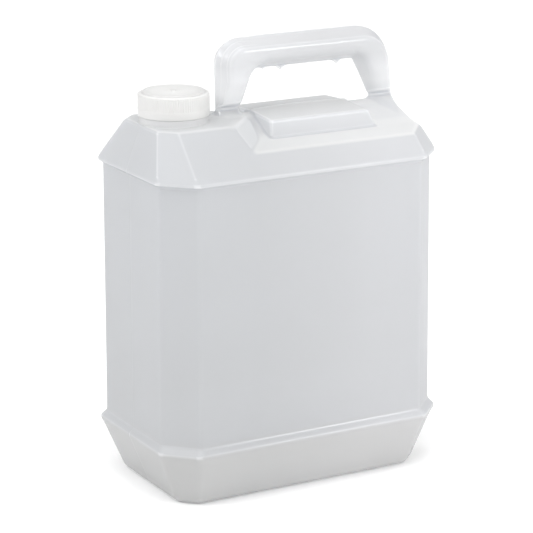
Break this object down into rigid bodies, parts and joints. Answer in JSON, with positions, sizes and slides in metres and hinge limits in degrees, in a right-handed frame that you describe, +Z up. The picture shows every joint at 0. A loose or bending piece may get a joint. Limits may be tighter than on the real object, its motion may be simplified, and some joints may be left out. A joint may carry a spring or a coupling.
{
  "type": "large water jug",
  "caption": "Flat, chamfered translucent water jug with a ribbed rim above and below its panel, a hollow moulded-in carrying handle, a threaded neck at one end and a screw cap.",
  "frame": {"origin": "middle of the jug's underside, in the plane that it stands on", "axes": "+X towards the handle end (the cap is at -X), +Y to the back, +Z up; the handle and the mould's parting line lie in the plane Y = 0"},
  "size_m": [0.2074, 0.1266, 0.2934],
  "materials": {
    "body_hdpe": "natural translucent polyethylene, satin, milky",
    "cap_pp": "opaque white polypropylene, satin gloss",
    "liner_foam": "closed-cell polyethylene foam, matte"
  },
  "bodies": {
    "bottle": {"bottle_body": "body_hdpe", "neck": "body_hdpe", "handle": "body_hdpe"},
    "liner": {"cap_liner": "liner_foam"},
    "cap": {"screw_cap": "cap_pp"}
  },
  "joints": [
    {"name": "cap_lift", "type": "slide", "parent": "bottle", "child": "liner", "axis": [0, 0, 1], "range_m": [0, 0.018]},
    {"name": "cap_turn", "type": "hinge", "parent": "liner", "child": "cap", "pos_m": [-0.0681, 0, 0.2558], "axis": [0, 0, 1], "range_deg": [0, 1620]}
  ],
  "couplings": [
    {"joint": "cap_lift", "follows": "cap_turn", "m_per_rad": 0.00063662}
  ]
}
